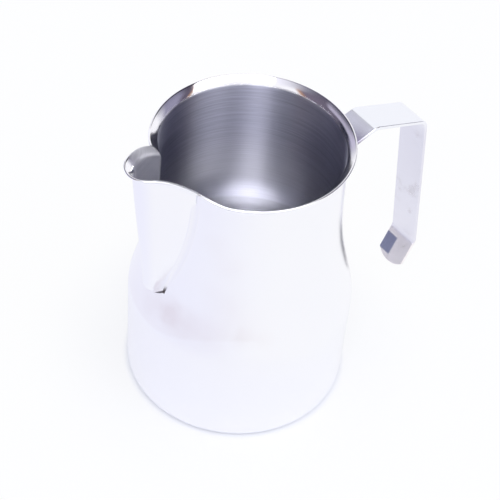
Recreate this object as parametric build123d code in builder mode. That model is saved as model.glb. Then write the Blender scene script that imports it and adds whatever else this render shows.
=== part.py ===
from build123d import *
import os
from math import asin, atan2, cos, hypot, pi, sin, sqrt, tan

# Milk frothing pitcher, half litre: a spun steel body, a pressed pouring spout welded over a notch
# in its neck, and a bent strap handle welded to the other side. Millimetres, +Z up. The origin is
# the centre of the base, on the body's axis. The handle points to +X and the spout to -X.

# Body: corner points of its outer side view, and the bends between them
sheet = 0.8
rim_height = 110.0
rim_radius = 35.4
rim_flare_height = 2.7
rim_bend_radius = 4.0
rim_edge_chamfer = 0.3
neck_radius = 33.15
neck_foot_radius = 34.2
neck_foot_height = 70.5
neck_bend_radius = 110.0
shoulder_height = 41.5
shoulder_bend_radius = 30.0
barrel_radius = 41.8
base_corner_radius = 2.0

# Spout: a rounded V in plan, with its nose on a straight line that leans outwards
notch_point_height = 52.0
spout_half_width = 11.0
spout_root_depth = 13.0
nose_overhang = 13.8
nose_lean = 0.094
nose_radius = 5.5
nose_taper = 0.055
toe_height = 56.5
toe_radius = 9.5
toe_clearance = 0.1
lip_flare_depth = 5.5
lip_flare_width = 3.8
lip_nose_flare = 2.3
lip_tip_rise = 8.5
lip_tip_overhang = 17.55
lip_crown_rise = 8.3
weld_bead = 0.5
weld_end_gap = 6.0

# Handle: corner points of the strap's outer face in side view, and the bends between them
strap_width = 13.4
strap_thickness = 1.4
strap_edge_round = 0.3
tab_length = 24.0
tab_top_drop = 19.9
arm_bend_radius = 4.0
crest_overhang = 18.95
crest_drop = 13.7
knuckle_overhang = 45.05
knuckle_drop = 22.5
heel_overhang = 52.95
heel_height = 19.5
tip_overhang = 46.45
tip_height = 6.1
strap_bend_radius = 5.0
tip_round = 9.2
plug_weld_radius = 2.0
plug_weld_spacing_across = 6.6
plug_weld_spacing_down = 12.0
plug_weld_crown = 0.25

os.makedirs("parts", exist_ok=True)

lip_flare_foot = rim_height - lip_flare_depth


def body_outline(grow):
    """Add the body's outer side view, from the base's centre to the rim, moved outwards by grow."""
    FilletPolyline(
        (0, 0),
        (barrel_radius + grow, 0),
        (barrel_radius + grow, shoulder_height),
        (neck_foot_radius + grow, neck_foot_height),
        (neck_radius + grow, rim_height - rim_flare_height),
        (rim_radius + grow, rim_height),
        radius=[base_corner_radius, shoulder_bend_radius, neck_bend_radius, rim_bend_radius],
    )


def body_block(grow=0.0):
    """The closed space within the body's outer side, grown outwards by grow."""
    with BuildPart() as block:
        with BuildSketch(Plane.XZ):
            with BuildLine():
                body_outline(grow)
                Polyline((rim_radius + grow, rim_height), (0, rim_height), (0, 0))
            make_face()
        revolve(axis=Axis.Z)
    return block.part


def neck_wall(height):
    """Outer radius of the neck and the upper shoulder at a height, on their straight runs."""
    if height > neck_foot_height:
        slope = (neck_radius - neck_foot_radius) / (rim_height - rim_flare_height - neck_foot_height)
        return neck_foot_radius + slope * (min(height, rim_height) - neck_foot_height)
    slope = (neck_foot_radius - barrel_radius) / (neck_foot_height - shoulder_height)
    return barrel_radius + slope * (height - shoulder_height)


def ease(share):
    """Smooth step: 0 below 0, 1 above 1, level at both ends."""
    share = min(max(share, 0), 1)
    return share * share * (3 - 2 * share)


def nose_line(height):
    """Reach of the spout's nose from the axis at a height, without the lip's flare."""
    return neck_radius + nose_overhang - nose_lean * (lip_flare_foot - height)


def spout_section(height, grow):
    """The spout's plan at a height: two straight flanks tangent to a round nose."""
    flare = ease((height - lip_flare_foot) / (2 * lip_flare_depth))
    lip_top = rim_height + lip_tip_rise
    nose_flare = lip_nose_flare * max(0, (height - rim_height) / (lip_top - rim_height)) ** 2
    reach = nose_line(height) + nose_flare
    radius = nose_radius - nose_taper * (lip_flare_foot - height)
    rise = min(1, (height - notch_point_height) / (lip_flare_foot - notch_point_height))
    half_width = spout_half_width * sin(pi / 2 * rise) + lip_flare_width * flare
    wall = neck_wall(min(height, lip_flare_foot))
    chord = sqrt(wall**2 - min(half_width, spout_half_width) ** 2)
    centre = reach - radius
    span = hypot(centre - chord, half_width)
    lean = max(0, atan2(half_width, centre - chord) - asin(min(radius / span, 1)))
    side = radius + grow
    root = neck_radius - spout_root_depth
    root_half_width = side / cos(lean) + (centre - root) * tan(lean)
    tangent = (-centre - side * sin(lean), side * cos(lean))
    with BuildSketch(Plane.XY.offset(height)) as plan:
        with BuildLine():
            Line((-root, root_half_width), tangent)
            ThreePointArc(tangent, (-reach - grow, 0), (tangent[0], -tangent[1]))
            Line((tangent[0], -tangent[1]), (-root, -root_half_width))
            Line((-root, -root_half_width), (-root, root_half_width))
        make_face()
    return plan.sketch


def level_steps(low, high, count):
    """Evenly spaced heights from low to high, both included."""
    return [low + (high - low) * step / count for step in range(count + 1)]


spout_floor = toe_height - 2
spout_ceiling = rim_height + lip_tip_rise + 3
spout_levels = level_steps(spout_floor, lip_flare_foot, 7)
spout_levels += level_steps(lip_flare_foot, spout_ceiling, 6)[1:]


def spout_block(grow=0.0):
    """The closed space within the spout's outer side, its toe rounded, grown outwards by grow."""
    toe_centre_height = toe_height + toe_radius
    toe_centre = toe_radius - nose_line(toe_centre_height) - toe_clearance
    far = neck_radius + 2 * nose_overhang
    top = rim_height + 4 * lip_tip_rise
    with BuildPart() as block:
        loft([spout_section(height, grow) for height in spout_levels], ruled=True)
        with BuildSketch(Plane.XZ.offset(far)):
            with BuildLine():
                Line((0, toe_height - grow), (toe_centre, toe_height - grow))
                CenterArc((toe_centre, toe_centre_height), toe_radius + grow, 180, 90)
                Polyline(
                    (toe_centre - toe_radius - grow, toe_centre_height),
                    (-far, toe_centre_height),
                    (-far, top),
                    (0, top),
                    (0, toe_height - grow),
                )
            make_face()
        extrude(amount=-2 * far, mode=Mode.INTERSECT)
    return block.part


body_envelope = body_block()
spout_envelope = spout_block()
spout_passage = spout_block(-sheet)

with BuildPart() as vessel_body:
    with BuildSketch(Plane.XZ):
        with BuildLine():
            body_outline(0)
            offset(amount=sheet, side=Side.LEFT)
        make_face()
    revolve(axis=Axis.Z)
    split(bisect_by=Plane.XY.offset(rim_height), keep=Keep.BOTTOM)
    rim_edges = faces().filter_by(Plane.XY).sort_by(Axis.Z)[-1].edges()
    chamfer(rim_edges, rim_edge_chamfer)
    add(spout_passage, mode=Mode.SUBTRACT)
vessel_body.part.label = "vessel_body"
export_step(vessel_body.part, "parts/vessel_body.step")

with BuildPart() as pouring_spout:
    add(spout_envelope)
    add(spout_passage, mode=Mode.SUBTRACT)
    add(body_envelope, mode=Mode.SUBTRACT)
    with BuildSketch(Plane.XY.offset(spout_floor)):
        Circle(neck_wall(rim_height) - sheet)
    extrude(amount=rim_height, mode=Mode.SUBTRACT)
    with BuildSketch(Plane.XY.offset(rim_height)):
        Circle(rim_radius)
    extrude(amount=rim_height, mode=Mode.SUBTRACT)
    lip_foot = (-sqrt(rim_radius**2 - (spout_half_width + lip_flare_width) ** 2), rim_height)
    lip_tip = (-neck_radius - lip_tip_overhang, rim_height + lip_tip_rise)
    lip_crown = ((lip_foot[0] + lip_tip[0]) / 2, rim_height + lip_crown_rise)
    above = rim_height + 4 * lip_tip_rise
    with BuildSketch(Plane.XZ.offset(2 * rim_radius)):
        with BuildLine():
            ThreePointArc(lip_foot, lip_crown, lip_tip)
            Polyline(lip_tip, (2 * lip_tip[0], lip_tip[1]), (2 * lip_tip[0], above), (0, above))
            Polyline((0, above), (0, rim_height), lip_foot)
        make_face()
    extrude(amount=-4 * rim_radius, mode=Mode.SUBTRACT)
pouring_spout.part.label = "pouring_spout"
export_step(pouring_spout.part, "parts/pouring_spout.step")

with BuildPart() as spout_weld_seam:
    add(spout_block(weld_bead))
    add(body_block(weld_bead), mode=Mode.INTERSECT)
    add(spout_envelope, mode=Mode.SUBTRACT)
    add(body_envelope, mode=Mode.SUBTRACT)
    split(bisect_by=Plane.XY.offset(rim_height - weld_end_gap), keep=Keep.BOTTOM)
spout_weld_seam.part.label = "spout_weld_seam"
export_step(spout_weld_seam.part, "parts/spout_weld_seam.step")

tab_top = rim_height - tab_top_drop
tab_middle = tab_top - tab_length / 2 - arm_bend_radius / 2
strap_corners = [
    (neck_wall(tab_top), tab_top - 2 * arm_bend_radius),
    (neck_wall(tab_top), tab_top),
    (neck_radius + crest_overhang, rim_height - crest_drop),
    (neck_radius + knuckle_overhang, rim_height - knuckle_drop),
    (neck_radius + heel_overhang, heel_height),
    (neck_radius + tip_overhang, tip_height),
]
heel_point = Vector(strap_corners[-2][0], 0, strap_corners[-2][1])
tip_point = Vector(strap_corners[-1][0], 0, strap_corners[-1][1])
hook_direction = (tip_point - heel_point).normalized()
tip_plane = Plane(tip_point, x_dir=(0, 1, 0), z_dir=Vector(0, 1, 0).cross(hook_direction))
weld_plane = Plane((0, 0, tab_middle), x_dir=(0, 1, 0), z_dir=(1, 0, 0))
outer_strap_face = body_block(strap_thickness)


def weld_pattern():
    """The places of the plug welds, seen along the handle's direction."""
    with BuildSketch(weld_plane) as pattern:
        with GridLocations(plug_weld_spacing_across, plug_weld_spacing_down, 2, 2):
            Circle(plug_weld_radius)
    return pattern.sketch


with BuildPart() as tab:
    with BuildSketch(weld_plane):
        Rectangle(strap_width, tab_length)
    extrude(amount=2 * neck_radius)
    fillet(edges().filter_by(Axis.X).group_by(Axis.Z)[0], strap_width / 4)
    add(outer_strap_face, mode=Mode.INTERSECT)

with BuildPart() as handle:
    with BuildSketch(Plane.XZ.offset(strap_width / 2)):
        with BuildLine():
            FilletPolyline(*strap_corners, radius=[arm_bend_radius] + 3 * [strap_bend_radius])
            offset(amount=strap_thickness, side=Side.RIGHT)
        make_face()
    extrude(amount=-strap_width)
    fillet(faces().filter_by(Axis.Y).edges(), strap_edge_round)
    with BuildSketch(tip_plane):
        Rectangle(2 * strap_width, 2 * tip_round)
        with Locations((0, -tip_round)):
            Circle(tip_round, mode=Mode.SUBTRACT)
    extrude(amount=2 * strap_thickness, both=True, mode=Mode.SUBTRACT)
    add(tab.part)
    add(body_envelope, mode=Mode.SUBTRACT)
    extrude(weld_pattern(), amount=2 * neck_radius - 2 * plug_weld_radius, mode=Mode.SUBTRACT)
handle.part.label = "handle"
export_step(handle.part, "parts/handle.step")

with BuildPart() as handle_welds:
    extrude(weld_pattern(), amount=2 * neck_radius - 2 * plug_weld_radius)
    add(body_block(strap_thickness + plug_weld_crown), mode=Mode.INTERSECT)
    add(body_envelope, mode=Mode.SUBTRACT)
handle_welds.part.label = "handle_welds"
export_step(handle_welds.part, "parts/handle_welds.step")
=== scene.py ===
from math import cos, hypot, pi, radians, sin

import bpy
import numpy as np
from mathutils import Matrix, Vector


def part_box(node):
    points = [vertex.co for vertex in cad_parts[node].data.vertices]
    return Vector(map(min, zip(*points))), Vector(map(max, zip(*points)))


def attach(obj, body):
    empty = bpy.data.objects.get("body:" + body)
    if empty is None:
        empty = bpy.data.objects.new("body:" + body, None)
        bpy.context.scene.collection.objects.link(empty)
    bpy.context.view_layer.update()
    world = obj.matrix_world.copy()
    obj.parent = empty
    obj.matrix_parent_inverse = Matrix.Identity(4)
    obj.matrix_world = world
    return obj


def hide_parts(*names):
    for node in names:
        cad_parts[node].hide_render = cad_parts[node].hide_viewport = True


# Milk frothing pitcher: a spun steel body with a flared rim, a pressed pouring spout let into its
# neck with a dressed weld seam, and a bent strap handle held by plug welds. Shapes are worked out
# in millimetres and put into the meshes in metres.

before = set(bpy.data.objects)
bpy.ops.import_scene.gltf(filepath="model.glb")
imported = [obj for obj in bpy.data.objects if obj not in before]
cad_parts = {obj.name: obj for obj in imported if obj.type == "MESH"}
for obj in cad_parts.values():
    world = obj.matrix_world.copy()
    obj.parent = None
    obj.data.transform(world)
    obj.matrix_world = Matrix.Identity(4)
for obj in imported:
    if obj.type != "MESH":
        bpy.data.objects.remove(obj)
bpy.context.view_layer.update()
MM = 0.001

body_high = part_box("vessel_body")[1]
spout_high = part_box("pouring_spout")[1]
strap_low, strap_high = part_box("handle")
BARREL_RADIUS = body_high.y / MM
RIM_HEIGHT = body_high.z / MM
LIP_CROWN = spout_high.z / MM
STRAP_WIDTH = (strap_high.y - strap_low.y) / MM

SHEET = 0.8
BASE_CORNER = 2.0
# The outer skin is kept a hair inside the CAD's own
FOOT_RADIUS = BARREL_RADIUS - 0.02

# The wall's side view is a straight barrel with three soft bends: (height, change of slope,
# width)
SHOULDER_BEND = (41.6, -0.2957, 1.2)
NECK_BEND = (67.7, 0.2632, 6.9)
RIM_BEND = (RIM_HEIGHT - 2.75, 1.25, 0.5)
RIM_END = RIM_HEIGHT - 0.66
RIM_RISE = 2.0
RIM_RISE_START = 43.0
RIM_RISE_END = 20.0
RIM_RISE_FOOT = 92.0
RIM_RISE_LENGTH = 15.0

# The spout
TOE = 57.3
TOE_SHOULDER = 66.0
TOE_WIDTH = 2.5
TOE_FADE = 6.0
TOE_ROUND = 0.25
NECK_TOP = RIM_HEIGHT - 5.5
SEAM_HALF_WIDTH = 11.0
SEAM_FLARE = 2.75
SEAM_POINT = 52.0
NOSE_REACH = 46.90
NOSE_LEAN = 0.094
NOSE_RADIUS = 5.5
NOSE_TAPER = 0.055
NOSE_FLARE = 0.86
NOSE_DROP = 0.35
LIP_ROUND = 0.71

# The dressed weld: its reach to each side of the seam grows upwards and fades out at its ends
DRESSED_REACH = 0.6
DRESSED_GROWTH = 1.0
DRESSED_GROWTH_LENGTH = 14.0
DRESSED_FADE = 3.0
DRESSED_SUNK = 0.25

# The strap handle: corners of its outer face in side view, and the bends between them
STRAP_THICKNESS = 1.4
STRAP_EDGE = 0.3
STRAP_END = 0.6
STRAP_END_BLEND = 8.0
STRAP_CORNERS = [
    (33.64, 66.1), (33.64, 90.1), (52.1, 96.3), (78.2, 87.5), (86.1, 19.5), (79.6, 6.1),
]
STRAP_BENDS = [4.0, 5.0, 5.0, 5.0]
TIP_ARC = 9.2
NECK_AT_TAB = 33.75
TAB_GAP = 0.03
WELD_RADIUS = 2.0
WELD_CROWN = 0.25
WELD_ACROSS = 6.6
WELD_DOWN = 12.0
WELD_MIDDLE = 76.1

# The camera looks along a heading, tilted down and rolled a little
VIEW_TURN = radians(40.6)
VIEW_DOWN = radians(45.55)
VIEW_ROLL = radians(5.55)
VIEW_PLACE = (-0.23065, -0.27290, 0.42100)
VIEW_LENS = 100.8


# ---------------------------------------------------------------- shapes

def soft_bend(distance, width):
    """Nothing before a bend and the distance after it, rounded off over the width."""
    return width * np.logaddexp(0, distance / width)


def ease(share):
    """Smooth step: 0 below 0, 1 above 1, level at both ends."""
    share = np.clip(share, 0, 1)
    return share * share * (3 - 2 * share)


def flare(height):
    """How far the rim's flare stands out from the neck's straight wall at a height."""
    return RIM_BEND[1] * soft_bend(height - RIM_BEND[0], RIM_BEND[2])


def wall_radius(height):
    """The outer wall: the barrel's radius plus one soft bend each for shoulder, neck and rim."""
    radius = FOOT_RADIUS + flare(height)
    for bend_height, slope, width in (SHOULDER_BEND, NECK_BEND):
        radius = radius + slope * soft_bend(height - bend_height, width)
    return radius


def rim_lift(angle, height):
    """The rim climbs towards the spout: a smooth step in angle times a smooth step in height."""
    share = (RIM_RISE_START - np.degrees(angle)) / (RIM_RISE_START - RIM_RISE_END)
    return RIM_RISE * ease(share) * ease((height - RIM_RISE_FOOT) / RIM_RISE_LENGTH)


def seam_half_width(height):
    """Half the notch's width: a quarter sine from its point, rounded off at the toe, wider in
    the flare."""
    rise = np.clip((height - SEAM_POINT) / (NECK_TOP - SEAM_POINT), 0, 1)
    closing = np.sqrt(1 - np.exp(-np.clip(height - TOE, 0, None) / TOE_ROUND))
    blunt = TOE_WIDTH * np.exp(-(height - TOE) / TOE_FADE)
    width = np.hypot(SEAM_HALF_WIDTH * np.sin(pi / 2 * rise), blunt)
    return width * closing + SEAM_FLARE * flare(height) / flare(RIM_END)


def seam_angle(height):
    """Angle of the notch's edge from the spout's own direction."""
    return np.arcsin(seam_half_width(height) / wall_radius(height))


def unit(vectors):
    """Vectors of length one."""
    return vectors / np.maximum(np.linalg.norm(vectors, axis=-1, keepdims=True), 1e-12)


def grid_normals(points):
    """Outward directions of a grid of points, from its differences along rows and columns."""
    along = np.gradient(points, axis=0)
    across = np.gradient(points, axis=1)
    return unit(np.cross(along, across))


def body_surface(angle, height):
    """Point of the outer wall at an angle from the spout's direction and a height on the wall:
    the wall's radius turned round the axis, lifted by the rim's rise."""
    radius = wall_radius(height)
    folded = np.abs((angle + pi) % (2 * pi) - pi)
    return np.stack(
        [-radius * np.cos(angle), radius * np.sin(angle), height + rim_lift(folded, height)], -1
    )


NOTCH_LEVELS = np.unique(np.concatenate([
    TOE + 3 * np.linspace(0, 1, 14) ** 2,
    np.linspace(TOE + 3, RIM_HEIGHT - 5, 62),
    np.linspace(RIM_HEIGHT - 5, RIM_END, 26),
]))


def body_grid():
    """Outer skin: rows from the middle of the base up to the rim, columns from one edge of the
    notch round the back to the other. Columns crowd aside near the notch and close up below it."""
    flat = FOOT_RADIUS - BASE_CORNER
    base = np.stack([np.linspace(0.0, 1, 26) ** 0.8 * flat, np.zeros(26)], -1)
    turn = np.linspace(0, pi / 2, 9)[1:]
    corner = np.stack([
        flat + BASE_CORNER * np.sin(turn), BASE_CORNER * (1 - np.cos(turn)),
    ], -1)
    levels = np.concatenate([np.linspace(BASE_CORNER, TOE, 48)[1:-1], NOTCH_LEVELS])
    share = np.linspace(0, 1, 257)
    plain = 2 * pi * share
    edge = np.where(levels >= TOE, seam_angle(levels), 0)[:, None]
    reach = radians(130)
    near_start = np.clip(1 - plain / reach, 0, 1) ** 2
    near_end = np.clip(1 - (2 * pi - plain) / reach, 0, 1) ** 2
    push = near_start - near_end
    angle = plain[None, :] + edge * push[None, :]
    wall = body_surface(angle, np.broadcast_to(levels[:, None], angle.shape))
    foot = np.concatenate([base, corner])
    rings = np.stack([
        -foot[:, :1] * np.cos(plain), foot[:, :1] * np.sin(plain),
        np.broadcast_to(foot[:, 1:], (len(foot), len(plain))),
    ], -1)
    return np.concatenate([rings, wall]), len(foot) + len(levels) - len(NOTCH_LEVELS)


def spout_plan(height, nose_height):
    """Plan of half the spout for each row: seam to nose as a straight flank tangent to a round
    nose, in shares of the way. Below the toe's shoulder the same plan shrinks onto the wall."""
    upper = np.maximum(height, TOE_SHOULDER)
    nose = np.maximum(nose_height, TOE_SHOULDER)
    half = seam_half_width(upper)
    root = np.sqrt(wall_radius(upper) ** 2 - half ** 2)
    out = NOSE_FLARE * flare(height)
    reach = NOSE_REACH - NOSE_LEAN * (NECK_TOP - nose) + out
    radius = NOSE_RADIUS - NOSE_TAPER * (NECK_TOP - np.minimum(nose, NECK_TOP)) + out
    centre = reach - radius
    span = np.hypot(centre - root, half)
    lean = np.arctan2(half, centre - root) - np.arcsin(np.minimum(radius / span, 1))
    flank = np.linspace(0, 1, 19)[None, :]
    tangent = [centre + radius * np.sin(lean), radius * np.cos(lean)]
    x_flank = root[:, None] + (tangent[0] - root)[:, None] * flank
    y_flank = half[:, None] + (tangent[1] - half)[:, None] * flank
    turn = lean[:, None] + (pi / 2 - lean[:, None]) * np.linspace(0, 1, 25)[None, 1:]
    x_nose = centre[:, None] + radius[:, None] * np.sin(turn)
    y_nose = radius[:, None] * np.cos(turn)
    x = np.concatenate([x_flank, x_nose], 1)
    y = np.concatenate([y_flank, y_nose], 1)
    share_x = (x - root[:, None]) / (reach - root)[:, None]
    share_y = y / half[:, None]
    drop = np.clip((TOE_SHOULDER - height) / (TOE_SHOULDER - TOE), 0, 1)
    true_half = seam_half_width(height)
    true_root = np.sqrt(wall_radius(height) ** 2 - true_half ** 2)
    depth = (reach - root) * (1 - drop ** 2) ** 0.75
    return (
        true_root[:, None] + share_x * depth[:, None],
        share_y * true_half[:, None],
    )


def spout_grid():
    """Outer skin of the spout: rows from the toe up to the lip, columns from the near seam round
    the nose to the far seam. The lip climbs along a bowed line from the rim to its crown."""
    height = NOTCH_LEVELS
    seam_rise = rim_lift(seam_angle(height), height)
    stretch = ease((height - TOE_SHOULDER + 4) / (NECK_TOP - TOE_SHOULDER + 4))
    lip_end = LIP_CROWN - LIP_ROUND
    top = lip_end - RIM_END
    nose_height = height + (top - NOSE_DROP) * stretch
    x, y = spout_plan(height, nose_height)
    way = (x[-1] - x[-1, 0]) / (x[-1, -1] - x[-1, 0])
    bow = np.sin(pi / 2 * (1.35 * way - 0.15 * way ** 2))
    rise = seam_rise[:, None] + (top - seam_rise[-1]) * bow[None, :] * stretch[:, None]
    z = height[:, None] + rise
    near = np.stack([-x, -y, z], -1)
    far = np.stack([-x, y, z], -1)
    return np.concatenate([near, far[:, -2::-1]], 1)


def strap_path():
    """The strap's middle line in side view: straight runs and round bends through its corners,
    half its thickness inside them. Gives its points and, at each, the direction across it into
    the handle's loop."""
    corners = [np.array(c) for c in STRAP_CORNERS]
    line = [corners[0]]
    for before, here, after, bend in zip(corners, corners[1:], corners[2:], STRAP_BENDS):
        arrive, leave = unit(here - before), unit(after - here)
        turn = np.arccos(np.clip(arrive @ leave, -1, 1))
        side = np.sign(arrive[0] * leave[1] - arrive[1] * leave[0])
        start = here - arrive * bend * np.tan(turn / 2)
        centre = start + side * bend * np.array([-arrive[1], arrive[0]])
        steps = np.linspace(0, turn, 14) * side
        arm = start - centre
        across = np.array([-arm[1], arm[0]])
        line += [centre + arm * cos(a) + across * sin(a) for a in steps]
    line.append(corners[-1])
    line = np.array(line)
    pieces = []
    for start, end in zip(line, line[1:]):
        count = max(2, int(hypot(*(end - start)) / 1.2) + 1)
        pieces.append(start + (end - start) * np.linspace(0, 1, count)[:-1, None])
    line = np.concatenate(pieces + [line[-1:]])
    tangent = unit(np.gradient(line, axis=0))
    right = np.stack([tangent[:, 1], -tangent[:, 0]], -1)
    return line + right * STRAP_THICKNESS / 2, right


# ---------------------------------------------------------------- meshes

def put_mesh(name, points, faces, materials, face_material=None):
    """A smooth mesh object from points in millimetres and rows of corner numbers."""
    mesh = bpy.data.meshes.new(name)
    mesh.from_pydata((points * MM).tolist(), [], faces)
    mesh.polygons.foreach_set("use_smooth", np.ones(len(mesh.polygons), bool))
    for material in materials:
        mesh.materials.append(material)
    if face_material is not None:
        mesh.polygons.foreach_set("material_index", face_material.astype(np.int32))
    mesh.update()
    piece = bpy.data.objects.new(name, mesh)
    bpy.context.scene.collection.objects.link(piece)
    return piece


def merged(points, faces, marks, distance=1e-4):
    """Points closer than the distance become one, and faces keep only their different corners."""
    key = np.round(points / distance).astype(np.int64)
    first, inverse = np.unique(key, axis=0, return_index=True, return_inverse=True)[1:]
    inverse = inverse.reshape(-1)
    kept, kept_marks = [], []
    for face, mark in zip(inverse[faces].tolist(), marks.tolist()):
        corners = [c for i, c in enumerate(face) if c != face[i - 1]]
        if len(set(corners)) >= 3:
            kept.append(corners)
            kept_marks.append(mark)
    return points[first], kept, np.array(kept_marks)


def grid_faces(rows, columns):
    """Corner numbers of the quads of a grid whose last row runs on into its first."""
    here = np.arange(rows)[:, None] * columns
    after = np.roll(here, -1, axis=0)
    column = np.arange(columns - 1)[None, :]
    corners = [here + column, after + column, after + column + 1, here + column + 1]
    return np.stack(corners, -1).reshape(-1, 4)


def sheet_shell(outer, inward, open_from):
    """A sheet of steel from its outer skin: the inner skin lies a thickness inwards, a half round
    joins them along the top row, and strips close the two side edges from a row upwards.
    Gives points, faces and a mark for each face: 0 outside, 1 inside."""
    rows, columns = outer.shape[:2]
    up = unit(outer[-1] - outer[-2])
    turns = np.linspace(0, pi, 8)[1:-1, None, None]
    lip = (
        outer[-1] + inward[-1] * (1 - np.cos(turns)) / 2
        + up * np.linalg.norm(inward[-1], axis=-1)[:, None] / 2 * np.sin(turns)
    )
    inner = (outer + inward)[::-1]
    whole = np.concatenate([outer, lip, inner])
    faces = grid_faces(len(whole), columns)
    marks = np.repeat(np.arange(len(whole)) >= rows + 3, columns - 1).astype(int)
    total = len(whole)
    across = np.arange(open_from, total // 2)
    mirror = total - 1 - across
    strips = []
    for column, flip in ((0, True), (columns - 1, False)):
        a = across[:-1] * columns + column
        b = across[1:] * columns + column
        c = mirror[1:] * columns + column
        d = mirror[:-1] * columns + column
        strip = np.stack([a, b, c, d], -1)
        strips.append(strip[:, ::-1] if flip else strip)
    strips = np.concatenate(strips)
    faces = np.concatenate([faces, strips])
    marks = np.concatenate([marks, np.ones(len(strips), int)])
    return whole.reshape(-1, 3), faces, marks


def skin_offsets(outer):
    """Inward steps of one sheet thickness from each point of an outer skin."""
    normal = grid_normals(outer)
    normal[0] = normal[1]
    return -SHEET * normal


def mitred(first, second):
    """Inward steps for the points that two skins share: along the line that halves their corner."""
    both = first + second
    return both / (1 + np.sum(first * second, -1, keepdims=True) / SHEET ** 2)


def seam_strip(spout, spout_inward):
    """The dressed weld: a fillet carried down the near seam, under the toe and up the far seam.
    Its section is a bow between a point on the wall and one on the flank, tangent to both."""
    keep = NOTCH_LEVELS < RIM_HEIGHT - 6
    line = np.concatenate([spout[keep, 0][::-1], spout[keep, -1][1:]])
    flank = -unit(np.concatenate([spout_inward[keep, 1][::-1], spout_inward[keep, -2][1:]]))
    gaps = np.linalg.norm(np.diff(line, axis=0), axis=1)
    along = np.concatenate([[0], np.cumsum(gaps)])
    even = np.linspace(0, along[-1], 260)
    line = np.stack([np.interp(even, along, line[:, i]) for i in range(3)], -1)
    flank = unit(np.stack([np.interp(even, along, flank[:, i]) for i in range(3)], -1))
    height = line[:, 2]
    slope = (wall_radius(height + 0.1) - wall_radius(height - 0.1)) / 0.2
    round_axis = unit(line * [1, 1, 0])
    wall = unit(round_axis - slope[:, None] * [0, 0, 1])
    heading = unit(np.gradient(line, axis=0))
    ends = np.minimum(even, even[-1] - even)
    growth = DRESSED_GROWTH * ease((height - TOE - 1) / DRESSED_GROWTH_LENGTH)
    width = ((DRESSED_REACH + growth) * np.sqrt(ease(ends / DRESSED_FADE)))[:, None]
    on_wall = line + width * unit(np.cross(wall, heading))
    shrink = np.linalg.norm(line[:, :2], axis=1) / np.linalg.norm(on_wall[:, :2], axis=1)
    on_wall[:, :2] *= (shrink * wall_radius(on_wall[:, 2]) / wall_radius(height))[:, None]
    on_flank = line - width * unit(np.cross(flank, heading))
    share = np.linspace(0, 1, 9)[:, None, None]
    bow = (1 - share) ** 2 * on_wall + 2 * share * (1 - share) * line + share ** 2 * on_flank
    sunk = width * DRESSED_SUNK
    inner = np.stack([on_flank - sunk * flank, line - sunk * (flank + wall), on_wall - sunk * wall])
    return np.concatenate([bow, inner])


def strap_grid():
    """The strap: a rectangle with rounded edges carried along the strap's middle line. Its weld
    tab follows the neck, its lower end has round corners, and its free end is a shallow arc."""
    line, right = strap_path()
    steps = np.linalg.norm(np.diff(line, axis=0), axis=1)
    along = np.concatenate([[0], np.cumsum(steps)])
    total = along[-1]
    half_width, half = STRAP_WIDTH / 2, STRAP_THICKNESS / 2
    turns = np.linspace(0, pi / 2, 6)
    flat = np.linspace(-1, 1, 15) * (half_width - STRAP_EDGE - 0.05)
    section = [(y, half) for y in flat]
    for sign_y, sign_q, order in ((1, 1, 1), (1, -1, -1), (-1, -1, 1), (-1, 1, -1)):
        arc = [
            (sign_y * (half_width - STRAP_EDGE + STRAP_EDGE * sin(a)),
             sign_q * (half - STRAP_EDGE + STRAP_EDGE * cos(a)))
            for a in turns
        ][::order]
        section += arc
        if (sign_y, sign_q) == (1, -1):
            section += [(y, -half) for y in flat[::-1]]
    section = np.array(section + section[:1])[::-1]
    y, q = section[:, 0], section[:, 1]
    tip_back = TIP_ARC - np.sqrt(TIP_ARC ** 2 - y ** 2)
    corner = STRAP_WIDTH / 4
    beside = np.clip(np.abs(y) - (half_width - corner), 0, corner * 0.999)
    tab_back = corner - np.sqrt(corner ** 2 - beside ** 2)
    inner_rows = along[(along > STRAP_END) & (along < total - STRAP_END)]
    end_at = np.concatenate([[0], STRAP_EDGE * (1 - np.cos(turns)), [0.4]])
    end_thick = np.concatenate([[0], half - STRAP_EDGE + STRAP_EDGE * np.sin(turns), [half]])
    row_at = np.concatenate([end_at, inner_rows, total - end_at[::-1]])
    row_thick = np.concatenate([end_thick, np.full(len(inner_rows), half), end_thick[::-1]]) / half
    near_tab = np.clip(1 - row_at / STRAP_END_BLEND, 0, 1)[:, None]
    near_tip = np.clip(1 - (total - row_at) / STRAP_END_BLEND, 0, 1)[:, None]
    at = row_at[:, None] + tab_back * near_tab - tip_back * near_tip
    pick = [np.interp(at, along, values) for values in (*line.T, *right.T)]
    thick = q * row_thick[:, None]
    x = pick[0] + pick[2] * thick
    z = pick[1] + pick[3] * thick
    tab_length = STRAP_CORNERS[1][1] - STRAP_CORNERS[0][1]
    on_tab = 1 - ease((at - tab_length + 5) / 6)
    curve = wall_radius(np.clip(z, 60, 95)) + TAB_GAP - STRAP_CORNERS[0][0]
    bow = NECK_AT_TAB - np.sqrt(NECK_AT_TAB ** 2 - y ** 2)
    x = x + on_tab * (curve - bow)
    return np.stack([x, np.broadcast_to(y, x.shape), z], -1)


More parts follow.
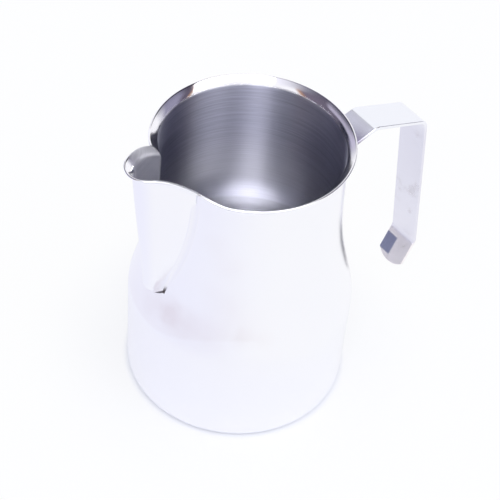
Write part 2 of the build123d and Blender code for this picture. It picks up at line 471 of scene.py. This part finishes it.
def weld_button(y_centre, z_centre):
    """A plug weld: a low dome on the tab, its height falling with the square of the distance from
    its middle, closed by a skirt and a back inside the tab."""
    share = np.array([0, 0.15, 0.35, 0.55, 0.72, 0.86, 0.95, 1.0, 1.0, 0.0])
    lift = WELD_CROWN * (1 - share ** 2)
    lift[-3:] = [-0.02, -0.5, -0.5]
    turn = np.linspace(0, 2 * pi, 41)
    ripple = 1 + 0.03 * np.sin(3 * turn + y_centre) + 0.02 * np.sin(5 * turn + z_centre)
    y = y_centre + WELD_RADIUS * share[:, None] * np.cos(turn) * ripple
    z = z_centre + WELD_RADIUS * share[:, None] * np.sin(turn) * ripple
    radius = wall_radius(z) + STRAP_THICKNESS + lift[:, None]
    grid = np.stack([np.sqrt(radius ** 2 - y ** 2), y, z], -1)
    grid[:, -1] = grid[:, 0]
    return grid


# ---------------------------------------------------------------- finishes

class Wire:
    """A number, colour or vector on its way between shader nodes. Sums of wires add Math nodes."""

    def __init__(self, finish, socket):
        self.finish = finish
        self.socket = socket

    def __add__(self, other):
        return self.finish.maths("ADD", self, other)

    def __mul__(self, other):
        return self.finish.maths("MULTIPLY", self, other)

    def __sub__(self, other):
        return self.finish.maths("SUBTRACT", self, other)

    def __rsub__(self, other):
        return self.finish.maths("SUBTRACT", other, self)

    def __truediv__(self, other):
        return self.finish.maths("DIVIDE", self, other)

    def __gt__(self, other):
        return self.finish.maths("GREATER_THAN", self, other)

    def __abs__(self):
        return self.finish.maths("ABSOLUTE", self)

    __radd__ = __add__
    __rmul__ = __mul__


class Finish:
    """A node material or world, built from expressions on wires."""

    def __init__(self, owner):
        owner.use_nodes = True
        self.owner = owner
        self.tree = owner.node_tree
        self.tree.nodes.clear()

    def node(self, kind, settings=None, inputs=None, output=0):
        """Adds a node: its settings first, then the value or wire of each socket."""
        made = self.tree.nodes.new(kind)
        for key, value in (settings or {}).items():
            if key == "stops":
                ramp = made.color_ramp
                while len(ramp.elements) < len(value):
                    ramp.elements.new(0.5)
                for element, (place, colour) in zip(ramp.elements, value):
                    element.position = place
                    element.color = colour
            else:
                setattr(made, key, value)
        for key, value in (inputs or {}).items():
            if isinstance(value, Wire):
                self.tree.links.new(value.socket, made.inputs[key])
            else:
                made.inputs[key].default_value = value
        return Wire(self, made.outputs[output])

    def maths(self, operation, first, second=0.0):
        """One Math node, on one number or two."""
        return self.node("ShaderNodeMath", {"operation": operation}, {0: first, 1: second})

    def place(self):
        """Object coordinates, in metres."""
        return self.node("ShaderNodeTexCoord", output="Object")

    def split(self, vector):
        """The three numbers of a vector."""
        made = self.node("ShaderNodeSeparateXYZ", None, {0: vector}).socket.node
        return [Wire(self, socket) for socket in made.outputs]

    def joined(self, x, y, z):
        """A vector of three numbers."""
        return self.node("ShaderNodeCombineXYZ", None, {0: x, 1: y, 2: z})

    def between(self, low, high, value):
        """Smooth step from 0 at low to 1 at high."""
        return self.node("ShaderNodeMapRange", {"interpolation_type": "SMOOTHSTEP"},
                         {"Value": value, "From Min": low, "From Max": high})

    def noise(self, vector, scale, detail=2.0, roughness=0.5):
        """Soft noise from 0 to 1."""
        return self.node("ShaderNodeTexNoise", None, {
            "Vector": vector, "Scale": scale, "Detail": detail, "Roughness": roughness,
        })

    def blend(self, share, first, second):
        """A colour between two others."""
        inputs = {0: share, 6: first, 7: second}
        return self.node("ShaderNodeMix", {"data_type": "RGBA"}, inputs, output=2)

    def bump(self, strength, height):
        """Fine relief in the surface."""
        return self.node("ShaderNodeBump", None, {
            "Strength": strength, "Distance": 0.0002, "Height": height,
        })

    def steel(self, colour, rough, bump, brushing=None):
        """Puts bare steel on the surface, with any brushed sheen across the wall."""
        shader = self.node("ShaderNodeBsdfPrincipled", None, {
            "Base Color": colour, "Metallic": 1.0, "Roughness": rough, "Normal": bump,
            **(brushing or {}),
        })
        return self.show(shader)

    def show(self, shader, kind="ShaderNodeOutputMaterial"):
        """Puts the shader on the surface."""
        end = self.tree.nodes.new(kind)
        self.tree.links.new(shader.socket, end.inputs["Surface"])
        return self.owner


def new_finish(name):
    """An empty node material."""
    return Finish(bpy.data.materials.new(name))


# Finger marks on the outside: (centre, size, how dull)
FINGER_MARKS = [
    ((-37.7, -6.7, 54.0), 10.0, 0.30), ((-37.4, -11.7, 51.5), 11.0, 0.26),
    ((-39.1, 2.0, 51.0), 9.0, 0.16), ((-27.3, -19.1, 90.5), 8.0, 0.08),
    ((-24.3, -23.5, 81.5), 9.0, 0.09), ((-25.9, -24.2, 67.0), 12.0, 0.09),
    ((-23.6, -31.4, 51.0), 6.0, 0.16), ((-17.2, -35.2, 51.5), 6.0, 0.08),
    ((-33.0, -22.1, 50.0), 12.0, 0.14),
]
MARK_DRIFT = 4.0
# Colour of the finger marks, and of the painted shade band on the shoulder
MARK_AND_SHADE_COLOUR = (0.74, 0.65, 0.68, 1)

# Places, in metres, where the finishes change: each pair is where a change starts and ends
# Painted shade band on the shoulder: its lower edge, how far it climbs round the side, its strength
SHOULDER_SHADE_EDGE = 0.0412
SHOULDER_SHADE_CLIMB = 0.0090
SHOULDER_SHADE_STRENGTH = 0.13
# Upper edge of the painted shadow at the toe, and its slant across the spout
TOE_SHADOW_LINE = 0.0598
TOE_SHADOW_TILT = 0.13
# Heights over which painted light brightens the inside down the neck
NECK_PAINTED_LIGHT = (0.092, 0.060)
# Heights below which painted shade darkens the inside
BARREL_PAINTED_SHADE = (0.0470, 0.0445)
NECK_ROUGHENS = (0.050, 0.066)
TIP_POLISHED = (-0.0435, -0.0475)
HELD_BELOW = (0.090, 0.078)
HELD_BEYOND = (0.060, 0.070)
HOOK_BELOW = (0.0200, 0.0175)
# Near side, reach and height of the painted shade on the rising strap
RISER_SHADE_SIDE = (0.005, -0.005)
RISER_SHADE_WITHIN = (0.050, 0.041)
RISER_SHADE_ABOVE = (0.0885, 0.0900)
# Heights, side and depth of the painted reflection inside the hook
PATCH_BELOW = (0.0167, 0.0160)
PATCH_ABOVE = (0.0086, 0.0094)
PATCH_SIDE = (0.0004, 0.0014)
PATCH_INSIDE = (-0.0006, -0.0010)


def polished_outside():
    """Bright polished steel: a faint lilac cast, fine lines round the wall, painted shade in a band
    on the shoulder, dull finger marks beside the spout, a painted shadow along the toe's lower
    edge."""
    finish = new_finish("polished_steel")
    place = finish.place()
    x, y, z = finish.split(place)
    out = finish.maths("SQRT", x * x + y * y)
    drift = finish.node("ShaderNodeTexNoise", None, {
        "Vector": place, "Scale": 120.0, "Detail": 2.0,
    }, output="Color")
    loose = finish.node("ShaderNodeVectorMath", {"operation": "MULTIPLY_ADD"}, {
        0: drift, 1: [2 * MARK_DRIFT * MM] * 3, 2: place,
    })
    marks = 0.0
    for centre, size, depth in FINGER_MARKS:
        distance = finish.node("ShaderNodeVectorMath", {"operation": "DISTANCE"}, {
            0: loose, 1: [(c + MARK_DRIFT) * MM for c in centre],
        }, output="Value")
        marks = finish.between(size * MM, 0.0, distance) * depth + marks
    # Painted shade: a lilac band just above the shoulder bend on the spout's near side, standing in
    # for a reflection; it is added to the finger marks and takes their colour
    way_round = finish.maths("ARCTAN2", y, 0 - x)
    edge = SHOULDER_SHADE_EDGE + SHOULDER_SHADE_CLIMB * finish.between(0.05, -0.95, way_round)
    painted_shoulder_shade = finish.between(0, 0.0018, z - edge) * finish.between(0.020, 0.004, z - edge)
    painted_shoulder_shade = painted_shoulder_shade * finish.between(-1.25, -0.85, way_round)
    painted_shoulder_shade = painted_shoulder_shade * finish.between(0.75, 0.25, way_round)
    marks = marks + painted_shoulder_shade * SHOULDER_SHADE_STRENGTH
    speckle = finish.noise(place, 420.0, 3.0, 0.65)
    marks = marks * (speckle * 0.5 + 0.55)
    cloud = finish.noise(place, 22.0, 3.0, 0.55)
    lines = finish.noise(finish.joined(x * 0.35, y * 0.35, z * 60.0), 90.0, 3.0, 0.6)
    colour = finish.blend(cloud, (0.94, 0.942, 0.995, 1), (0.965, 0.97, 1.0, 1))
    colour = finish.blend(marks, colour, MARK_AND_SHADE_COLOUR)
    # Painted shadow: a near-black line on the spout just above the toe's lower edge, where the toe
    # overhangs the shoulder
    lean = -SHOULDER_BEND[1]
    stand = out + z * lean - (BARREL_RADIUS + lean * SHOULDER_BEND[0]) * MM
    corner = finish.between(0.0004, 0.0010, stand)
    corner = corner * finish.between(0.0001, -0.0003, z - TOE_SHADOW_LINE - y * TOE_SHADOW_TILT)
    corner = corner * finish.between(0.0024, -0.0010, y) * (0 - x > 0.03)
    colour = finish.blend(corner * 0.9, colour, (0.07, 0.06, 0.08, 1))
    rough = 0.15 + marks * 0.1 + corner * 0.2 + cloud * 0.04 + lines * 0.05
    return finish.steel(colour, rough, finish.bump(0.05, lines))


def brushed_inside(name, on_spout):
    """Steel brushed round the inside: streaks round the wall, painted light brightening it down the
    neck and painted shade darkening it below the shoulder, and polished on the body's rim flare or
    at the spout's tip."""
    finish = new_finish(name)
    place = finish.place()
    x, y, z = finish.split(place)
    rim = finish.between(RIM_HEIGHT * MM - 0.0032, RIM_HEIGHT * MM - 0.0020, z)
    if on_spout:
        rim = rim * finish.between(*TIP_POLISHED, x)
    upper = finish.between(*NECK_ROUGHENS, z)
    fine = finish.noise(finish.joined(x * 0.4, y * 0.4, z * 40.0), 160.0, 4.0, 0.65)
    coarse = finish.noise(finish.joined(x * 0.6, y * 0.6, z * 26.0), 70.0, 3.0, 0.6)
    cloud = finish.noise(place, 26.0, 2.0, 0.5)
    streaks = finish.between(0.24, 0.76, coarse) * 0.45 + finish.between(0.26, 0.74, fine) * 0.4
    streaks = streaks + cloud * 0.15
    if on_spout:
        colour = finish.blend(streaks, (0.55, 0.55, 0.60, 1), (0.74, 0.74, 0.79, 1))
    else:
        # Painted light: the base colour brightens down the neck, standing in for brighter
        # reflections lower in it
        neck = finish.between(*NECK_PAINTED_LIGHT, z) * 0.56
        # Painted shade: the base colour darkens below the shoulder, standing in for shade under the
        # bright reflection there
        barrel = finish.between(*BARREL_PAINTED_SHADE, z) * 0.4
        colour = finish.blend(streaks, (0.30, 0.305, 0.40, 1), (0.56, 0.565, 0.69, 1))
        colour = finish.blend(neck, colour, (0.85, 0.85, 0.92, 1))
        colour = finish.blend(barrel, colour, (0.30, 0.30, 0.33, 1))
    colour = finish.blend(rim, colour, (0.97, 0.955, 0.99, 1))
    rough = (0.24 + 0.19 * upper + fine * 0.10) * (1 - rim) + rim * 0.1
    height = (fine * 0.6 + coarse * 0.4) * (1 - rim)
    return finish.steel(colour, rough, finish.bump(0.12, height), {
        "Anisotropic": 0.3 if on_spout else 1.0, "Anisotropic Rotation": 0.25,
    })


def strap_finish():
    """Strap steel, ground lengthwise: bright on the arm, painted shade where it rises beside the
    rim, duller and rubbed where it is held, warmer on the hook, a blue-grey painted reflection
    inside it."""
    finish = new_finish("strap_steel")
    place = finish.place()
    x, y, z = finish.split(place)
    grain = finish.noise(finish.joined(x * 1.5, y * 60.0, z * 1.5), 60.0, 3.0, 0.6)
    held = finish.between(*HELD_BELOW, z) * finish.between(*HELD_BEYOND, x)
    rubbed = finish.between(0.54, 0.80, finish.noise(place, 120.0, 3.0, 0.6)) * held
    below_bend = finish.between(*HOOK_BELOW, z)
    colour = finish.blend(held * 0.8, (0.93, 0.94, 0.99, 1), (0.78, 0.77, 0.87, 1))
    colour = finish.blend(below_bend, colour, (0.99, 0.95, 0.97, 1))
    colour = finish.blend(rubbed * 0.40, colour, (0.58, 0.55, 0.58, 1))
    # Painted shade: a dark purple-grey on the near side of the strap where it rises above the rim
    painted_riser_shade = finish.between(*RISER_SHADE_SIDE, y) * finish.between(*RISER_SHADE_WITHIN, x)
    painted_riser_shade = painted_riser_shade * finish.between(*RISER_SHADE_ABOVE, z)
    colour = finish.blend(painted_riser_shade, colour, (0.33, 0.29, 0.42, 1))
    # Painted reflection: a dark blue-grey patch on the hook's inner face, towards the body
    tip, heel = STRAP_CORNERS[-1], STRAP_CORNERS[-2]
    slant = (heel[0] - tip[0]) / (heel[1] - tip[1])
    patch = finish.between(*PATCH_BELOW, z) * finish.between(*PATCH_ABOVE, z)
    patch = patch * finish.between(*PATCH_SIDE, y)
    inside = x - heel[0] * MM - (z - heel[1] * MM) * slant
    patch = patch * finish.between(*PATCH_INSIDE, inside)
    colour = finish.blend(patch * 0.92, colour, (0.26, 0.285, 0.44, 1))
    rough = 0.18 + grain * 0.08 + rubbed * 0.1
    return finish.steel(colour, rough, finish.bump(0.08, grain))


def weld_finish():
    """Dressed weld steel: as bright as the wall, dull beside the toe and darkened there by a
    painted shadow.
    """
    finish = new_finish("weld_steel")
    place = finish.place()
    z = finish.split(place)[2]
    grain = finish.noise(place, 900.0, 3.0, 0.6)
    # Painted shadow: near-black on the weld just above the toe, under the toe's overhang
    toe = finish.between((TOE + 0.5) * MM, (TOE + 1.1) * MM, z)
    toe = toe * finish.between((TOE + 5.0) * MM, (TOE + 1.7) * MM, z)
    colour = finish.blend(grain, (0.92, 0.92, 0.98, 1), (0.96, 0.965, 0.995, 1))
    colour = finish.blend(toe, colour, (0.10, 0.085, 0.09, 1))
    rough = 0.18 + grain * 0.08 + toe * 0.3
    return finish.steel(colour, rough, finish.bump(0.1, grain))


# ---------------------------------------------------------------- pieces

OUTSIDE = polished_outside()
INSIDE = brushed_inside("brushed_steel", False)
SPOUT_INSIDE = brushed_inside("spout_steel", True)
STRAP = strap_finish()
WELD = weld_finish()

body_outer, first_open = body_grid()
spout_outer = spout_grid()
body_step = skin_offsets(body_outer)
spout_step = skin_offsets(spout_outer)
closed = slice(0, first_open)
body_outer[closed, -1] = body_outer[closed, 0]
meeting = (body_step[closed, 0] + body_step[closed, -1]) / 2
meeting = unit(meeting) * SHEET
body_step[closed, 0] = meeting
body_step[closed, -1] = meeting
body_step[0] = [0, 0, SHEET]
near = mitred(body_step[first_open:, -1], spout_step[:, 0])
far = mitred(body_step[first_open:, 0], spout_step[:, -1])
body_step[first_open:, -1] = near
body_step[first_open:, 0] = far
spout_step[:, 0] = near
spout_step[:, -1] = far


def finish_piece(piece, node):
    """The piece stands for its CAD node, on the pitcher's one body."""
    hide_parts(node)
    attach(piece, "root")


points, faces, marks = sheet_shell(body_outer, body_step, first_open)
points, faces, marks = merged(points, faces, marks)
body = put_mesh("pitcher_body", points, faces, [OUTSIDE, INSIDE], marks)
finish_piece(body, "vessel_body")

points, faces, marks = sheet_shell(spout_outer, spout_step, 0)
points, faces, marks = merged(points, faces, marks)
spout = put_mesh("spout", points, faces, [OUTSIDE, SPOUT_INSIDE], marks)
finish_piece(spout, "pouring_spout")

rings = seam_strip(spout_outer, spout_step)
faces = grid_faces(*rings.shape[:2])
points, faces, marks = merged(rings.reshape(-1, 3), faces, np.zeros(len(faces), int))
finish_piece(put_mesh("spout_weld", points, faces, [WELD]), "spout_weld_seam")

strap = strap_grid()
faces = grid_faces(*strap.shape[:2])[:-(strap.shape[1] - 1)]
points, faces, marks = merged(strap.reshape(-1, 3), faces, np.zeros(len(faces), int))
finish_piece(put_mesh("strap_handle", points, faces, [STRAP]), "handle")

points, faces, count = [], [], 0
for y_side in (-0.5, 0.5):
    for z_side in (-0.5, 0.5):
        dome = weld_button(y_side * WELD_ACROSS, WELD_MIDDLE + z_side * WELD_DOWN)
        faces.append(grid_faces(*dome.shape[:2])[:-(dome.shape[1] - 1)] + count)
        points.append(dome.reshape(-1, 3))
        count += len(points[-1])
points, faces = np.concatenate(points), np.concatenate(faces)
points, faces, marks = merged(points, faces, np.zeros(len(faces), int))
finish_piece(put_mesh("plug_welds", points, faces, [WELD]), "handle_welds")


# ---------------------------------------------------------------- studio

def studio_floor():
    """Pale floor that shows white, with painted shade in lilac to one side in reflections, and
    keeps
    the shadow: most where the pitcher stands, a trace further out."""
    finish = new_finish("studio_floor")
    place = finish.place()
    x, y = finish.split(place)[:2]
    tone = finish.noise(place, 3.0, 1.0, 0.5)
    colour = finish.blend(tone, (0.86, 0.87, 0.94, 1), (0.88, 0.89, 0.96, 1))
    out = finish.maths("SQRT", x * x + y * y)
    # Painted shade: for reflections the floor's glow turns lilac to the camera's left, on the
    # pitcher's shadow side
    aside = x * cos(VIEW_TURN) - y * sin(VIEW_TURN)
    cast = finish.between(-0.16, 0.10, aside)
    cast = finish.blend(cast, (0.90, 0.90, 1.0, 1), (1.0, 1.0, 1.0, 1))
    rays = finish.node("ShaderNodeLightPath").socket.node.outputs
    camera, glossy = Wire(finish, rays["Is Camera Ray"]), Wire(finish, rays["Is Glossy Ray"])
    cast = finish.blend(camera, cast, (0.995, 0.997, 1.0, 1))
    near, further = finish.between(0.0408, 0.0440, out), finish.between(0.045, 0.085, out)
    seen = finish.maths("MAXIMUM", camera, glossy) * (0.16 + 0.59 * near + 0.19 * further)
    matt = finish.node("ShaderNodeBsdfDiffuse", None, {"Color": colour})
    glow = finish.node("ShaderNodeEmission", None, {"Color": cast, "Strength": 1.0})
    shader = finish.node("ShaderNodeMixShader", None, {0: seen, 1: matt, 2: glow})
    return finish.show(shader)


def studio_world():
    """A white room to look at. In reflections it is white near the ground, and higher up it has
    dim parts, panels, and a pale slot and patch beside the handle. What the steel mirrors of itself
    sees a dimmer room, with one bright patch overhead."""
    finish = Finish(bpy.data.worlds.new("studio"))
    bpy.context.scene.world = finish.owner
    x, y, z = finish.split(finish.node("ShaderNodeTexCoord", output="Generated"))
    ahead = x * sin(VIEW_TURN) + y * cos(VIEW_TURN)
    aside = x * cos(VIEW_TURN) - y * sin(VIEW_TURN)
    turn = finish.maths("FRACT", finish.maths("ARCTAN2", aside, ahead) / (2 * pi) + 1)
    rays = finish.node("ShaderNodeLightPath").socket.node.outputs
    white, dim, amber = (0.97, 0.975, 1.0, 1), (0.010, 0.011, 0.028, 1), (0.46, 0.26, 0.16, 1)
    plum, lilac = (0.12, 0.105, 0.15, 1), (0.30, 0.29, 0.40, 1)
    back_panel, front_panel = (3.5, 3.5, 3.6, 1), (3.7, 3.7, 3.85, 1)
    level = finish.node("ShaderNodeValToRGB", {"stops": [
        (0.0, white), (0.14, white), (0.18, lilac), (0.225, lilac), (0.25, plum),
        (0.266, plum), (0.276, amber), (0.288, white), (0.625, white), (0.64, amber),
        (0.658, (0.18, 0.155, 0.21, 1)), (0.78, plum), (0.80, dim), (0.84, dim), (0.87, lilac),
        (0.91, white),
    ]}, {"Fac": turn})
    above = finish.node("ShaderNodeValToRGB", {"stops": [
        (0.0, white), (0.05, white), (0.09, dim), (0.265, dim), (0.285, back_panel),
        (0.34, back_panel), (0.40, (1.9, 1.9, 2.0, 1)), (0.46, front_panel), (0.53, front_panel),
        (0.56, (1.0, 1.0, 1.1, 1)), (0.62, (0.75, 0.75, 0.82, 1)), (0.68, (0.30, 0.30, 0.36, 1)),
        (0.76, dim), (0.90, dim), (0.94, white),
    ]}, {"Fac": turn})
    beside = finish.node("ShaderNodeValToRGB", {"stops": [
        (share, (grey, grey, grey, 1))
        for share, grey in ((0.0, 1), (0.15, 1), (0.19, 0.5), (0.27, 0), (0.74, 0), (0.82, 1))
    ]}, {"Fac": turn})
    top = 0.70 - beside * 0.35
    mirror = finish.blend(finish.between(0, 0.08, z - top), level, above)
    riser = finish.between(0.035, 0.018, abs(turn - 0.872))
    riser = riser * finish.between(0.70, 0.76, z) * finish.between(0.995, 0.97, z)
    mirror = finish.blend(riser, mirror, (0.92, 0.90, 1.08, 1))
    slot = finish.between(0.09, 0.05, abs(z - 0.58 + (turn - 0.754) * 3.0))
    slot = slot * finish.between(0.740, 0.758, turn) * finish.between(0.90, 0.87, turn)
    mirror = finish.blend(slot * 0.85, mirror, (0.64, 0.61, 0.76, 1))
    middle = finish.between(0.56, 0.30, abs(aside - 0.07))
    middle = middle * finish.between(0.14, -0.04, ahead) * finish.between(0.80, 0.90, z)
    again = Wire(finish, rays["Glossy Depth"]) > 1.5
    mirror = finish.blend(again * 0.85, mirror, dim)
    mirror = finish.blend(middle * again, mirror, (12.2, 12.2, 11.5, 1))
    mirror = finish.blend(1 - finish.between(0.0, 0.04, z), mirror, white)
    camera = Wire(finish, rays["Is Camera Ray"])
    glossy = Wire(finish, rays["Is Glossy Ray"])
    colour = finish.blend(glossy, (0.84, 0.86, 0.90, 1), mirror)
    colour = finish.blend(camera, colour, (1, 1, 1, 1))
    shader = finish.node("ShaderNodeBackground", None, {"Color": colour, "Strength": 1.0})
    finish.show(shader, "ShaderNodeOutputWorld")


def soft_lamp(name, place, aim, size, power, colour):
    """A square soft lamp at a place, turned to its aim."""
    data = bpy.data.lights.new(name, "AREA")
    data.shape = "SQUARE"
    data.size = size
    data.energy = power
    data.color = colour
    lamp = bpy.data.objects.new(name, data)
    bpy.context.scene.collection.objects.link(lamp)
    lamp.location = place
    lamp.rotation_euler = (Vector(aim) - Vector(place)).to_track_quat("-Z", "Y").to_euler()


floor_mesh = bpy.data.meshes.new("floor")
floor_mesh.from_pydata([(-4, -4, 0), (4, -4, 0), (4, 4, 0), (-4, 4, 0)], [], [(0, 1, 2, 3)])
floor_mesh.materials.append(studio_floor())
floor = bpy.data.objects.new("floor", floor_mesh)
floor.location.z = -0.0002
bpy.context.scene.collection.objects.link(floor)

studio_world()
soft_lamp("side", (0.35, -0.87, 1.1), (0, 0, 0.05), 0.75, 2.5, (1.0, 0.995, 1.0))
soft_lamp("front", (-0.56, -0.57, 1.15), (0, 0, 0.05), 0.45, 3.5, (1.0, 0.99, 0.985))

lens = bpy.data.cameras.new("camera")
lens.lens = VIEW_LENS
lens.sensor_width = 36
lens.clip_start = 0.01
camera = bpy.data.objects.new("camera", lens)
bpy.context.scene.collection.objects.link(camera)
bpy.context.scene.camera = camera
forward = cos(VIEW_DOWN)
ahead = Vector((sin(VIEW_TURN) * forward, cos(VIEW_TURN) * forward, -sin(VIEW_DOWN)))
level = Vector((cos(VIEW_TURN), -sin(VIEW_TURN), 0))
upright = level.cross(ahead)
right = level * cos(VIEW_ROLL) + upright * sin(VIEW_ROLL)
above = upright * cos(VIEW_ROLL) - level * sin(VIEW_ROLL)
camera.matrix_world = Matrix((
    (right.x, above.x, -ahead.x, VIEW_PLACE[0]),
    (right.y, above.y, -ahead.y, VIEW_PLACE[1]),
    (right.z, above.z, -ahead.z, VIEW_PLACE[2]),
    (0, 0, 0, 1),
))

bpy.context.scene.view_settings.view_transform = "Standard"
